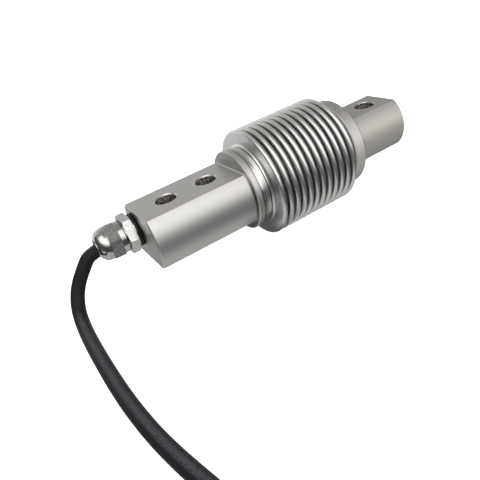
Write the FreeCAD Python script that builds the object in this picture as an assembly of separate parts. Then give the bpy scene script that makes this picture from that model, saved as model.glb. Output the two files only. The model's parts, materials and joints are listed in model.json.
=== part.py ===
"""Cantilever beam load cell with a sealing bellows, a cable gland and its cable. Millimetres.

The frame has its origin between the two fixing holes, on the lower clamping flat.
+X runs along the beam to the load end, and +Z points up through the fixing holes.
"""
import FreeCAD, Part
import math
import os

V = FreeCAD.Vector
X = V(1, 0, 0)
Y = V(0, 1, 0)
Z = V(0, 0, 1)

# Spring element: clamping shank, from the cable end to the shoulder
SHANK_D = 30.4
FLAT_ACROSS = 20.0
FIXING_PITCH = 17.5
BOLT_HOLE_D = 8.4
HOLE_CHAMFER = 0.4
SHOULDER_MARGIN = 11.5
END_CHAMFER = 0.5
FLAT_CHAMFER = 0.2
FLAT_FILLET = 0.9

# Spring element: collar, bending beam and load end
COLLAR_D = 33.5
COLLAR_L = 3.9
RIM_CHAMFER = 0.3
BEAM_WIDTH = 10.0
BEAM_HEIGHT = 18.0
BEAM_FILLET = 1.5
BENDING_HOLE_D = 12.0
BENDING_ROOT_SETBACK = 13.0
BENDING_TIP_SETBACK = 10.9
BENDING_SLOT = 4.0
HUB_L = 1.6
HUB_STEP = 1.0
LOAD_END_D = 26.1
LOAD_HOLE_MARGIN = 17.9
LOAD_END_MARGIN = 10.15
LOAD_END_CHAMFER = 0.5

# Bellows, formed from thin tube and welded round both cuffs
BELLOWS_WALL = 0.3
CONVOLUTIONS = 12
CONVOLUTION_H = 6.5
CREST_R = 1.0
ROOT_R = 0.585
CUFF_L = 2.3
CUFF_FILLET = 1.1

# Weld ring at the load end of the bellows, and the fit of one turned steel piece on another
SPIGOT_WALL = 2.59
RING_RIM = 2.6
RING_L = 5.0
TURNED_FIT = 0.03

# Cable entry in the end face and the wire channel that runs on from it beside the beam
ENTRY_D = 10.0
ENTRY_DEPTH = 7.0
ENTRY_LAND = 1.75
GLAND_RISE = 0.7
WIRE_CHANNEL_D = 3.4
CHANNEL_CLEARANCE = 0.3

# Gland body and its sealing ring
O_RING_WIDTH = 1.75
O_RING_THICKNESS = 1.3
FLANGE_RIM = 1.4
FLANGE_L = 0.5
BODY_ACROSS = 14.0
BODY_HEX_L = 3.4
BODY_TURN = 2.0
STUB_L = 6.5
NECK_WALL = 1.15
NECK_L = 4.3
HEX_CORNER_CUT = 0.35
HEX_CHAMFER_SLOPE = 0.6
THREAD_FIT = 0.05

# Gland cap nut
CAP_GAP = 0.4
SKIRT_WALL = 0.95
SKIRT_L = 2.2
CAP_ACROSS = 13.0
CAP_HEX_L = 4.4
CAP_TURN = 39.5
CAP_CONE_L = 5.2
DOME_STEP = 0.15
DOME_L = 4.3
DOME_BULGE = 1.0
LIP_ROUND = 0.35
LIP_FIT = 0.25

# Clamping insert and rubber sleeve inside the gland
SEAT_DEPTH = 0.2
SLEEVE_WALL = 0.8
SLEEVE_FIT = 0.05
CLAW_FIT = 0.05
CLAW_FOOT_WALL = 0.65
CLAW_HEAD_WALL = 1.4
CLAW_TIP_WALL = 0.4
CLAW_SLITS = 8
CLAW_SLIT_W = 0.5

# Strain gauges, terminal board and resistors on the bending beam
GAUGE_L = 7.0
GAUGE_W = 5.0
GAUGE_T = 0.2
BOARD_L = 4.6
BOARD_H = 9.0
BOARD_T = 0.8
BOARD_MARGIN = 0.4
RESISTOR_L = 3.2
RESISTOR_W = 1.6
RESISTOR_T = 0.6
RESISTOR_GAP = 2.0

# Four leads from the sheath's end to the terminal board, and the potting round them
LEAD_COLOURS = ("red", "green", "black", "white")
LEAD_D = 0.9
LEAD_GAP = 0.1
PAD_L = 2.0
PAD_MARGIN = 0.2
SEALANT_L = 5.0
SEALANT_FIT = 0.02

# Cable, with the corners of its route over the floor after the straight stretch out of the gland
CABLE_D = 5.3
CABLE_FIT = 0.2
SHEATH_DEPTH = 4.5
CABLE_STRAIGHT = 1.9
CORNER_SHARE = 0.45
CABLE_ROUTE = (
    (-45.4, 6.3, 6.3),
    (-50.6, 5.7, 0.2),
    (-53.8, 2.3, -5.5),
    (-55.1, -4.3, -9.0),
    (-55.6, -14.7, -9.85),
    (-55.7, -29.0, -9.85),
    (-55.5, -44.2, -9.85),
    (-54.7, -59.3, -9.85),
    (-52.8, -75.1, -9.85),
    (-49.4, -91.3, -9.85),
    (-45.7, -106.6, -9.85),
    (-40.0, -121.5, -9.85),
    (-32.0, -135.4, -9.85),
    (-21.7, -147.7, -9.85),
    (-9.6, -158.2, -9.65),
    (3.8, -166.9, -9.35),
    (18.0, -174.3, -9.05),
)

# Coil of the cable's spare length, and its tie
COIL_X = 50.0
COIL_Y = -146.0
COIL_ENTRY = 245.0
COIL_MIDDLE_D = 58.0
COIL_WIDEST_ROW = 5
COIL_ROWS = 4
COIL_CORNER_R = 8.0
TIE_T = 0.8
TIE_FIT = 0.1
TIE_AT = 120.0
TIE_ANGLE = 12.0

# Cable's stripped end on top of the coil
TAIL_FROM = 280.0
TAIL_ANGLE = 70.0
TAIL_FIT = 0.05
CORE_STEP = 4.0
CORE_STEPS = 7
CORE_SPREAD = 1.3
CORE_TIP_D = 0.5
CORE_TIP_L = 6.0
SHIELD_D = 1.2
SHIELD_DROP = 1.75

# Radii that follow from the walls and fits
axis_z = FLAT_ACROSS / 2
load_r = LOAD_END_D / 2
ring_bore_r = load_r + TURNED_FIT
seat_r = ring_bore_r + SPIGOT_WALL
cuff_r = seat_r + TURNED_FIT + BELLOWS_WALL
crest_top_r = cuff_r + CONVOLUTION_H
cable_r = CABLE_D / 2
sleeve_r = cable_r + SLEEVE_FIT + SLEEVE_WALL
claw_bore_r = sleeve_r + SLEEVE_FIT
claw_foot_r = claw_bore_r + CLAW_FOOT_WALL
neck_bore_r = claw_foot_r + CLAW_FIT
neck_r = neck_bore_r + NECK_WALL
cap_bore_r = neck_r + THREAD_FIT
skirt_r = cap_bore_r + SKIRT_WALL
lip_r = cable_r + LIP_FIT
stub_r = ENTRY_D / 2 - THREAD_FIT

# Stations along the beam
pitch = 2 * (CREST_R + ROOT_R)
x_hole_1 = -FIXING_PITCH / 2
x_hole_2 = FIXING_PITCH / 2
x_cable_end = x_hole_1 - BOLT_HOLE_D / 2 - ENTRY_LAND - ENTRY_DEPTH
x_shoulder = x_hole_2 + SHOULDER_MARGIN
x_cuff = x_shoulder + COLLAR_L
x_beam = x_cuff + CUFF_L
x_first_crest = x_beam + CUFF_FILLET + CREST_R
x_last_crest = x_first_crest + (CONVOLUTIONS - 1) * pitch
x_spigot = x_last_crest + CREST_R + CUFF_FILLET
x_ring = x_spigot + CUFF_L
x_ring_end = x_ring + RING_L
x_hub = x_spigot - HUB_L
x_load_hole = x_ring_end + LOAD_HOLE_MARGIN
x_load_end = x_load_hole + LOAD_END_MARGIN
x_bending_1 = x_beam + BENDING_ROOT_SETBACK
x_bending_2 = x_hub - BENDING_TIP_SETBACK
x_board = x_beam + BEAM_FILLET + BOARD_MARGIN

# Gland axis, and distances along it from the end face
gland_y = BEAM_WIDTH / 2 + CHANNEL_CLEARANCE + WIRE_CHANNEL_D / 2
gland_z = axis_z + GLAND_RISE
s_flange = O_RING_THICKNESS
s_hex = s_flange + FLANGE_L
s_neck = s_hex + BODY_HEX_L
s_neck_end = s_neck + NECK_L
s_seat = s_neck - SEAT_DEPTH
s_skirt = s_neck + CAP_GAP
s_cap_hex = s_skirt + SKIRT_L
s_dome = s_cap_hex + CAP_HEX_L
s_tip = s_dome + DOME_L
s_cone_end = s_tip - 2 * LIP_ROUND
s_cone = s_cone_end - CAP_CONE_L

# Coil and floor
floor_z = axis_z - crest_top_r
coil_centre = V(COIL_X, COIL_Y, 0)
coil_width = COIL_WIDEST_ROW * CABLE_D
coil_height = ((COIL_ROWS - 1) * math.sqrt(0.75) + 1) * CABLE_D
coil_floor = floor_z + TIE_T
coil_top = coil_floor + coil_height
tail_r = (COIL_MIDDLE_D - CABLE_D) / 2
tail_z = coil_top + TAIL_FIT + cable_r
tail_end = TAIL_FROM + TAIL_ANGLE

# Offsets of the four leads in their bundle, across and up
lead_offset = (LEAD_D + LEAD_GAP) / 2
LEAD_PLACES = (
    (-lead_offset, -lead_offset),
    (lead_offset, -lead_offset),
    (-lead_offset, lead_offset),
    (lead_offset, lead_offset),
)


def closed_face(start, *steps):
    """A face inside a closed outline. A step is a point, or a pair: a point on an arc and its end."""
    edges = []
    here = start
    for step in steps:
        if isinstance(step, tuple):
            through, end = step
            edges.append(Part.Arc(here, through, end).toShape())
        else:
            end = step
            edges.append(Part.LineSegment(here, end).toShape())
        here = end
    if here != start:
        edges.append(Part.LineSegment(here, start).toShape())
    return Part.Face(Part.Wire(edges))


def arc_inset(radius):
    """How far the middle of a quarter arc lies from the two lines that the arc rounds off."""
    return radius * (1 - math.sqrt(0.5))


def polar(radius, degrees):
    """The two coordinates of a point at an angle round a circle."""
    angle = math.radians(degrees)
    return radius * math.cos(angle), radius * math.sin(angle)


def box(low, high):
    """A block between two opposite corners."""
    size = high - low
    return Part.makeBox(size.x, size.y, size.z, low)


def on_beam(x, r):
    """A point of a profile that is turned about the beam's axis."""
    return V(x, 0, axis_z + r)


def on_gland(s, r):
    """A point of a profile that is turned about the gland's axis, s outwards from the end face."""
    return V(x_cable_end - s, gland_y, gland_z + r)


def over_coil(r, z, degrees):
    """A point at a height and at a radius and angle round the coil's centre."""
    x, y = polar(r, degrees)
    return coil_centre + V(x, y, z)


def turned_on_beam(*outline):
    return closed_face(*outline).revolve(on_beam(0, 0), X, 360)


def turned_on_gland(*outline):
    return closed_face(*outline).revolve(on_gland(0, 0), X, 360)


def gland_rod(s_0, s_1, r):
    """A round rod on the gland's axis between two distances from the end face."""
    return Part.makeCylinder(r, s_1 - s_0, on_gland(s_1, 0), X)


def flat_cutter(x_free, x_wall):
    """What is milled away over the upper flat, from a chamfered free end to a filleted wall."""
    way = 1 if x_wall > x_free else -1
    top = axis_z + SHANK_D
    half = Y * SHANK_D
    inset = arc_inset(FLAT_FILLET)
    profile = closed_face(
        V(x_free, 0, FLAT_ACROSS - FLAT_CHAMFER),
        V(x_free + way * FLAT_CHAMFER, 0, FLAT_ACROSS),
        V(x_wall - way * FLAT_FILLET, 0, FLAT_ACROSS),
        (V(x_wall - way * inset, 0, FLAT_ACROSS + inset), V(x_wall, 0, FLAT_ACROSS + FLAT_FILLET)),
        V(x_wall, 0, top),
        V(x_free - way * FLAT_CHAMFER, 0, top),
        V(x_free - way * FLAT_CHAMFER, 0, FLAT_ACROSS - FLAT_CHAMFER),
    )
    profile.translate(-half)
    return profile.extrude(half * 2)


def bolt_hole(x):
    """A through hole across the flats, with its edges broken."""
    r = BOLT_HOLE_D / 2
    wide = r + HOLE_CHAMFER
    profile = closed_face(
        V(x, 0, 0),
        V(x + wide, 0, 0),
        V(x + r, 0, HOLE_CHAMFER),
        V(x + r, 0, FLAT_ACROSS - HOLE_CHAMFER),
        V(x + wide, 0, FLAT_ACROSS),
        V(x, 0, FLAT_ACROSS),
    )
    return profile.revolve(V(x, 0, 0), Z, 360)


def necked(half, place):
    """A bar's outline along X that flares into both its walls. place makes a point of x and an offset."""
    f = BEAM_FILLET
    inset = arc_inset(f)
    wide = half + f
    return closed_face(
        place(x_beam, -wide),
        (place(x_beam + inset, -half - inset), place(x_beam + f, -half)),
        place(x_hub - f, -half),
        (place(x_hub - inset, -half - inset), place(x_hub, -wide)),
        place(x_hub, wide),
        (place(x_hub - inset, half + inset), place(x_hub - f, half)),
        place(x_beam + f, half),
        (place(x_beam + inset, half + inset), place(x_beam, wide)),
    )


def bending_beam():
    """The bar between the seats, cut to a parallelogram spring by two bores and a slot."""
    deep = BEAM_WIDTH / 2 + BEAM_FILLET
    tall = BEAM_HEIGHT / 2 + BEAM_FILLET
    plan = necked(BEAM_WIDTH / 2, lambda x, y: V(x, y, axis_z - tall)).extrude(Z * 2 * tall)
    side = necked(BEAM_HEIGHT / 2, lambda x, z: V(x, -deep, axis_z + z)).extrude(Y * 2 * deep)
    bores = [
        Part.makeCylinder(BENDING_HOLE_D / 2, 2 * deep, V(x, -deep, axis_z), Y)
        for x in (x_bending_1, x_bending_2)
    ]
    slot = box(
        V(x_bending_1, -deep, axis_z - BENDING_SLOT / 2),
        V(x_bending_2, deep, axis_z + BENDING_SLOT / 2),
    )
    return plan.common(side).cut(bores + [slot])


def spring_element():
    """One machined piece: shank, collar, bellows seat, bending beam, hub and load end."""
    shank_r = SHANK_D / 2
    collar_r = COLLAR_D / 2
    hub_r = load_r + HUB_STEP
    root = turned_on_beam(
        on_beam(x_cable_end, 0),
        on_beam(x_cable_end, shank_r - END_CHAMFER),
        on_beam(x_cable_end + END_CHAMFER, shank_r),
        on_beam(x_shoulder, shank_r),
        on_beam(x_shoulder, collar_r - RIM_CHAMFER),
        on_beam(x_shoulder + RIM_CHAMFER, collar_r),
        on_beam(x_cuff, collar_r),
        on_beam(x_cuff, seat_r),
        on_beam(x_beam, seat_r),
        on_beam(x_beam, 0),
    )
    tip = turned_on_beam(
        on_beam(x_hub, 0),
        on_beam(x_hub, hub_r),
        on_beam(x_spigot, hub_r),
        on_beam(x_spigot, load_r),
        on_beam(x_load_end - LOAD_END_CHAMFER, load_r),
        on_beam(x_load_end, load_r - LOAD_END_CHAMFER),
        on_beam(x_load_end, 0),
    )
    body = root.fuse([bending_beam(), tip]).removeSplitter()
    for cutter in (flat_cutter(x_cable_end, x_shoulder), flat_cutter(x_load_end, x_ring_end)):
        body = body.cut([cutter, cutter.mirror(on_beam(0, 0), Z)])
    entry = gland_rod(-ENTRY_DEPTH, 0, ENTRY_D / 2)
    channel = gland_rod(x_cable_end - x_beam - BEAM_FILLET, 0, WIRE_CHANNEL_D / 2)
    holes = [bolt_hole(x) for x in (x_hole_1, x_hole_2, x_load_hole)]
    return body.cut(holes + [entry, channel])


def bellows_skin(inset):
    """The edges of the bellows' profile, from cuff to cuff, an inset below its outer surface."""
    crest = CREST_R - inset
    root = ROOT_R + inset
    fillet = CUFF_FILLET + inset
    skin_r = cuff_r - inset
    crest_r = crest_top_r - CREST_R
    root_r = cuff_r + ROOT_R
    fillet_r = cuff_r + CUFF_FILLET
    slant = fillet * math.sqrt(0.5)
    low = on_beam(x_beam + fillet, fillet_r)
    edges = [
        Part.LineSegment(on_beam(x_cuff, skin_r), on_beam(x_beam, skin_r)),
        Part.Arc(on_beam(x_beam, skin_r), on_beam(x_beam + slant, fillet_r - slant), low),
    ]
    for i in range(CONVOLUTIONS):
        x = x_first_crest + i * pitch
        left = on_beam(x - crest, crest_r)
        right = on_beam(x + crest, crest_r)
        edges.append(Part.LineSegment(low, left))
        edges.append(Part.Arc(left, on_beam(x, crest_r + crest), right))
        if i < CONVOLUTIONS - 1:
            foot = on_beam(x + crest, root_r)
            low = on_beam(x + pitch - crest, root_r)
            edges.append(Part.LineSegment(right, foot))
            edges.append(Part.Arc(foot, on_beam(x + pitch / 2, root_r - root), low))
    low = on_beam(x_spigot - fillet, fillet_r)
    edges += [
        Part.LineSegment(right, low),
        Part.Arc(low, on_beam(x_spigot - slant, fillet_r - slant), on_beam(x_spigot, skin_r)),
        Part.LineSegment(on_beam(x_spigot, skin_r), on_beam(x_ring, skin_r)),
    ]
    return [edge.toShape() for edge in edges]


def bellows():
    """A thin wall of even thickness, with round crests and roots between straight sides."""
    ends = [
        Part.LineSegment(on_beam(x, cuff_r - BELLOWS_WALL), on_beam(x, cuff_r)).toShape()
        for x in (x_cuff, x_ring)
    ]
    edges = bellows_skin(0) + bellows_skin(BELLOWS_WALL) + ends
    wall = Part.Face(Part.Wire(Part.sortEdges(edges)[0]))
    return wall.revolve(on_beam(0, 0), X, 360)


def weld_ring():
    """The ring that slides on the load end and carries the bellows' far cuff on its spigot."""
    rim_r = cuff_r + RING_RIM
    return turned_on_beam(
        on_beam(x_spigot, ring_bore_r),
        on_beam(x_spigot, seat_r),
        on_beam(x_ring, seat_r),
        on_beam(x_ring, rim_r - RIM_CHAMFER),
        on_beam(x_ring + RIM_CHAMFER, rim_r),
        on_beam(x_ring_end - RIM_CHAMFER, rim_r),
        on_beam(x_ring_end, rim_r - RIM_CHAMFER),
        on_beam(x_ring_end, ring_bore_r),
    )


def hexagon(across, s_0, s_1, turn):
    """A hexagon bar on the gland's axis, its corners turned down a little at both ends."""
    corner = across / math.sqrt(3)
    turned_down = corner - HEX_CORNER_CUT
    points = [on_gland(s_1, 0) + V(0, *polar(corner, turn + 60 * i)) for i in range(6)]
    bar = Part.Face(Part.makePolygon(points + points[:1])).extrude(X * (s_1 - s_0))
    slope = HEX_CHAMFER_SLOPE * HEX_CORNER_CUT
    trim = turned_on_gland(
        on_gland(s_0, 0),
        on_gland(s_0, turned_down),
        on_gland(s_0 + slope, corner),
        on_gland(s_1 - slope, corner),
        on_gland(s_1, turned_down),
        on_gland(s_1, 0),
    )
    return bar.common(trim)


def gland_body():
    """The screwed-in half of the gland: stub, flange, hexagon and the neck under the cap."""
    outside = gland_rod(-STUB_L, s_flange, stub_r).fuse([
        gland_rod(s_flange, s_hex, stub_r + FLANGE_RIM),
        hexagon(BODY_ACROSS, s_hex, s_neck, BODY_TURN),
        gland_rod(s_neck, s_neck_end, neck_r),
    ])
    bore = gland_rod(-STUB_L, s_neck_end, cable_r + CABLE_FIT)
    seat = gland_rod(s_seat, s_neck_end, neck_bore_r)
    return outside.cut([bore, seat]).removeSplitter()


def gland_o_ring():
    """The sealing ring, squeezed flat between the flange and the end face."""
    inner = stub_r + THREAD_FIT
    outer = inner + O_RING_WIDTH
    half = O_RING_THICKNESS / 2
    return turned_on_gland(
        on_gland(0, inner + half),
        (on_gland(half, inner), on_gland(s_flange, inner + half)),
        on_gland(s_flange, outer - half),
        (on_gland(half, outer), on_gland(0, outer - half)),
    )


def gland_cap_nut():
    """The domed cap nut: round skirt, hexagon and dome, with a rounded lip round the cable."""
    dome_r = CAP_ACROSS / 2 - DOME_STEP
    tip_r = lip_r + 2 * LIP_ROUND
    chord = math.hypot(DOME_L, dome_r - tip_r)
    crown = on_gland(
        (s_dome + s_tip) / 2 + DOME_BULGE * (dome_r - tip_r) / chord,
        (dome_r + tip_r) / 2 + DOME_BULGE * DOME_L / chord,
    )
    shell = turned_on_gland(
        on_gland(s_skirt, cap_bore_r),
        on_gland(s_skirt, skirt_r),
        on_gland(s_cap_hex, skirt_r),
        on_gland(s_dome, dome_r),
        (crown, on_gland(s_tip, tip_r)),
        (on_gland(s_tip + LIP_ROUND, lip_r + LIP_ROUND), on_gland(s_tip, lip_r)),
        on_gland(s_cone_end, lip_r),
        on_gland(s_cone, cap_bore_r),
    )
    wrench = hexagon(CAP_ACROSS, s_cap_hex, s_dome, CAP_TURN)
    wrench = wrench.cut(gland_rod(s_cap_hex, s_dome, cap_bore_r))
    return shell.fuse(wrench).removeSplitter()


def s_on_cone(r):
    """Where the clamping insert's outside, a fit inside the cap's cone, has a radius."""
    return s_cone + (cap_bore_r - CLAW_FIT - r) * CAP_CONE_L / (cap_bore_r - lip_r)


def gland_claw():
    """The slit clamping insert, seated in the neck and closed by the cap's cone."""
    head_r = claw_bore_r + CLAW_HEAD_WALL
    tip_r = claw_bore_r + CLAW_TIP_WALL
    s_head = s_neck_end + CLAW_FIT
    insert = turned_on_gland(
        on_gland(s_seat, claw_bore_r),
        on_gland(s_seat, claw_foot_r),
        on_gland(s_head, claw_foot_r),
        on_gland(s_head, head_r),
        on_gland(s_on_cone(head_r), head_r),
        on_gland(s_on_cone(tip_r), tip_r),
        on_gland(s_on_cone(tip_r), claw_bore_r),
    )
    half = CLAW_SLIT_W / 2
    slit = box(
        on_gland(s_on_cone(tip_r), -half),
        on_gland(s_head, half) + Y * (head_r + half),
    )
    slits = []
    for i in range(CLAW_SLITS):
        slits.append(slit.copy())
        slits[i].rotate(on_gland(0, 0), X, 360 * i / CLAW_SLITS)
    return insert.cut(slits)


def gland_seal():
    """The rubber sleeve between the clamping insert and the cable's sheath."""
    s_end = s_on_cone(claw_bore_r + CLAW_TIP_WALL)
    return gland_rod(s_seat, s_end, sleeve_r).cut(gland_rod(s_seat, s_end, cable_r + SLEEVE_FIT))


def strain_gauges():
    """A foil gauge over each thin web of the beam, by name."""
    top = axis_z + BEAM_HEIGHT / 2
    bottom = axis_z - BEAM_HEIGHT / 2 - GAUGE_T
    gauges = {}
    for side, z in (("upper", top), ("lower", bottom)):
        for end, x in (("root", x_bending_1), ("tip", x_bending_2)):
            corner = V(x - GAUGE_L / 2, -GAUGE_W / 2, z)
            gauges[f"strain_gauge_{side}_{end}"] = box(corner, corner + V(GAUGE_L, GAUGE_W, GAUGE_T))
    return gauges


def terminal_board():
    """The small circuit board on the beam's side, beside the wire channel."""
    corner = V(x_board, BEAM_WIDTH / 2, axis_z - BOARD_H / 2)
    return box(corner, corner + V(BOARD_L, BOARD_T, BOARD_H))


def trim_resistors():
    """The two chips that set balance and span, on the beam's other side, by name."""
    chips = {}
    for name, z in (("balance", RESISTOR_GAP / 2), ("span", -RESISTOR_GAP / 2 - RESISTOR_W)):
        corner = V(x_board, -BEAM_WIDTH / 2 - RESISTOR_T, axis_z + z)
        chips[f"{name}_resistor"] = box(corner, corner + V(RESISTOR_L, RESISTOR_T, RESISTOR_W))
    return chips


def rounded_path(points):
    """A wire of straight runs joined by arcs as large as the runs allow, and the arcs' radii."""
    edges = []
    radii = []
    here = points[0]
    for before, corner, after in zip(points, points[1:], points[2:]):
        back = before - corner
        ahead = after - corner
        reach = CORNER_SHARE * min(back.Length, ahead.Length)
        half_turn = (math.pi - back.getAngle(ahead)) / 2
        radius = reach / math.tan(half_turn)
        start = corner + back.normalize() * reach
        end = corner + ahead.normalize() * reach
        inwards = (start + end) / 2 - corner
        middle = corner + inwards.normalize() * radius * (1 / math.cos(half_turn) - 1)
        edges.append(Part.LineSegment(here, start).toShape())
        edges.append(Part.Arc(start, middle, end).toShape())
        radii.append(radius)
        here = end
    edges.append(Part.LineSegment(here, points[-1]).toShape())
    return Part.Wire(edges), radii


def round_wire(points, diameter):
    """A round wire along a rounded path, with the path's length and radii."""
    path, radii = rounded_path(points)
    ring = Part.Wire(Part.makeCircle(diameter / 2, points[0], points[1] - points[0]))
    return path.makePipeShell([ring], True, False), path.Length, radii


def leads():
    """The four insulated leads, from the sheath's end through the channel onto the board, by name."""
    pad_pitch = BOARD_H / len(LEAD_COLOURS)
    pad_y = BEAM_WIDTH / 2 + BOARD_T + LEAD_D / 2
    pad_end = x_board + BOARD_L - PAD_MARGIN
    wires = {}
    for colour, (across, up), pad in zip(LEAD_COLOURS, LEAD_PLACES, (-0.5, -1.5, 0.5, 1.5)):
        start = on_gland(-SHEATH_DEPTH, up) + Y * across
        bend = V(x_beam + BEAM_FILLET, start.y, start.z)
        end = V(pad_end, pad_y, axis_z + pad * pad_pitch)
        wires[f"lead_{colour}"] = round_wire([start, bend, end - X * PAD_L, end], LEAD_D)[0]
    return wires


def channel_sealant():
    """The potting that closes the wire channel round the four leads, under the shoulder."""
    s_0 = x_cable_end - x_shoulder - SEALANT_L
    s_1 = s_0 + SEALANT_L
    plug = gland_rod(s_0, s_1, WIRE_CHANNEL_D / 2 - SEALANT_FIT)
    for across, up in LEAD_PLACES:
        hole = gland_rod(s_0, s_1, LEAD_D / 2 + SEALANT_FIT)
        hole.translate(V(0, across, up))
        plug = plug.cut(hole)
    return plug


def cable():
    """The sheathed cable, from its end inside the gland over the floor to the coil."""
    first_turn_r = (COIL_MIDDLE_D + (COIL_WIDEST_ROW - 2) * CABLE_D) / 2
    points = [on_gland(-SHEATH_DEPTH, 0), on_gland(s_tip + CABLE_STRAIGHT, 0)]
    points += [V(*place) for place in CABLE_ROUTE]
    points.append(over_coil(first_turn_r, coil_floor + cable_r, COIL_ENTRY))
    tube, length, radii = round_wire(points, CABLE_D)
    share = tube.Volume / (math.pi * cable_r ** 2 * length)
    print("cable arc radii", [round(radius, 1) for radius in radii])
    print(f"cable length {length:.1f}, its volume over section times length {share:.4f}")
    return tube.cut(cable_coil())


def coil_section(grow):
    """The outline of the coil's bundle of turns, grown all round, in the plane of X and Z."""
    corner = COIL_CORNER_R + grow
    inset = arc_inset(corner)
    r_0 = (COIL_MIDDLE_D - coil_width) / 2 - grow
    r_1 = (COIL_MIDDLE_D + coil_width) / 2 + grow
    z_0 = coil_floor - grow
    z_1 = coil_top + grow
    return closed_face(
        over_coil(r_0 + corner, z_0, 0),
        over_coil(r_1 - corner, z_0, 0),
        (over_coil(r_1 - inset, z_0 + inset, 0), over_coil(r_1, z_0 + corner, 0)),
        over_coil(r_1, z_1 - corner, 0),
        (over_coil(r_1 - inset, z_1 - inset, 0), over_coil(r_1 - corner, z_1, 0)),
        over_coil(r_0 + corner, z_1, 0),
        (over_coil(r_0 + inset, z_1 - inset, 0), over_coil(r_0, z_1 - corner, 0)),
        over_coil(r_0, z_0 + corner, 0),
        (over_coil(r_0 + inset, z_0 + inset, 0), over_coil(r_0 + corner, z_0, 0)),
    )


def cable_coil():
    """The tied coil as one solid of its outer shape."""
    return coil_section(0).revolve(coil_centre, Z, 360)


def coil_tie():
    """The strap round the coil's bundle of turns."""
    band = coil_section(TIE_T).cut(coil_section(TIE_FIT)).Faces[0]
    band.rotate(coil_centre, Z, TIE_AT)
    return band.revolve(coil_centre, Z, TIE_ANGLE)


def cable_tail():
    """The cable's last stretch, which lies along the top of the coil."""
    along = V(*polar(1, TAIL_FROM + 90), 0)
    disc = Part.Face(Part.Wire(Part.makeCircle(cable_r, over_coil(tail_r, tail_z, TAIL_FROM), along)))
    return disc.revolve(coil_centre, Z, TAIL_ANGLE)


def core_route(across, up, spread, diameter, held_steps=1):
    """The points of a stripped core, held in its bundle at first, then round the coil's top."""
    along = V(*polar(1, tail_end + 90), 0)
    start = over_coil(tail_r + across, tail_z + up, tail_end)
    points = [start, start + along * CORE_STEP]
    for i in range(2, CORE_STEPS + 1):
        angle = tail_end + math.degrees(i * CORE_STEP / tail_r)
        if i <= held_steps:
            points.append(over_coil(tail_r + across, tail_z + up, angle))
        else:
            points.append(over_coil(tail_r + spread, coil_top + TAIL_FIT + diameter / 2, angle))
    return points


def stripped_end():
    """The four cores with their bare tips and the twisted shield at the cable's far end, by name."""
    pieces = {}
    for colour, (across, up), spread in zip(LEAD_COLOURS, LEAD_PLACES, (-2, 2, -1, 1)):
        points = core_route(across, up, spread * CORE_SPREAD, LEAD_D, held_steps=2 if up > 0 else 1)
        end = points[-1]
        pieces[f"core_{colour}"] = round_wire(points, LEAD_D)[0]
        pieces[f"core_tip_{colour}"] = Part.makeCylinder(CORE_TIP_D / 2, CORE_TIP_L, end, end - points[-2])
    pieces["cable_shield"] = round_wire(core_route(0, -SHIELD_DROP, 0, SHIELD_D), SHIELD_D)[0]
    return pieces


nodes = {
    "spring_element": spring_element(),
    "bellows": bellows(),
    "weld_ring": weld_ring(),
    "gland_body": gland_body(),
    "gland_o_ring": gland_o_ring(),
    "gland_cap_nut": gland_cap_nut(),
    "gland_claw": gland_claw(),
    "gland_seal": gland_seal(),
    **strain_gauges(),
    "terminal_board": terminal_board(),
    **trim_resistors(),
    **leads(),
    "channel_sealant": channel_sealant(),
    "cable": cable(),
    "cable_coil": cable_coil(),
    "coil_tie": coil_tie(),
    "cable_tail": cable_tail(),
    **stripped_end(),
}

os.makedirs("parts", exist_ok=True)
for name, shape in nodes.items():
    shape.exportStep(f"parts/{name}.step")
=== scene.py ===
"""Looks of a bellows-sealed bending-beam load cell on a white studio table.

Metres, in the part's own frame: +X along the beam to the load end, +Z up.
"""
import json
import math

import bmesh
import bpy
from mathutils import Matrix, Vector


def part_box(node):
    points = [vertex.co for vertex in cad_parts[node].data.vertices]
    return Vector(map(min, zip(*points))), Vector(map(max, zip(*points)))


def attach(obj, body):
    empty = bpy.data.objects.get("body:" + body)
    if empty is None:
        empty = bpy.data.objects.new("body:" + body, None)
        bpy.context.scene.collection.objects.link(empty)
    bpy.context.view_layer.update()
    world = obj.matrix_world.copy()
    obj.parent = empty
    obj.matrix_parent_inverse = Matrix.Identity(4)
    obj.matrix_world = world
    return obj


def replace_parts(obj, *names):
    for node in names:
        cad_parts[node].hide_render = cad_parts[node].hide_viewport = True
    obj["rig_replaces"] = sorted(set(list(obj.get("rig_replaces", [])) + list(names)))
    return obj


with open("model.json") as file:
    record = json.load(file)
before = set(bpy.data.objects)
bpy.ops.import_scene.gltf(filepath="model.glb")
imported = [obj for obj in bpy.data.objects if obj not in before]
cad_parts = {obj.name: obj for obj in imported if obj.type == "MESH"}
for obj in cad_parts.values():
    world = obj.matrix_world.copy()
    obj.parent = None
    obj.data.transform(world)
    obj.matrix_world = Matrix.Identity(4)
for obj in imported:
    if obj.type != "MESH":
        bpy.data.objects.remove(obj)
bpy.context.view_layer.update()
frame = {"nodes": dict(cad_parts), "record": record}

MM = 0.001
scene = bpy.context.scene
record = frame["record"]
mounts = {mount["name"]: mount for mount in record["mounts"]}

# Camera, from the photograph's own edges and hole rims
IMAGE_PX = 480
FOCAL_PX = 520.7
CAMERA_AT = Vector((-59.55, -175.08, 95.68)) * MM
CAMERA_LOOK = Vector((0.34476, 0.80087, -0.48964))
CAMERA_UP = Vector((0.44093, 0.32232, 0.83767))

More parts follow.
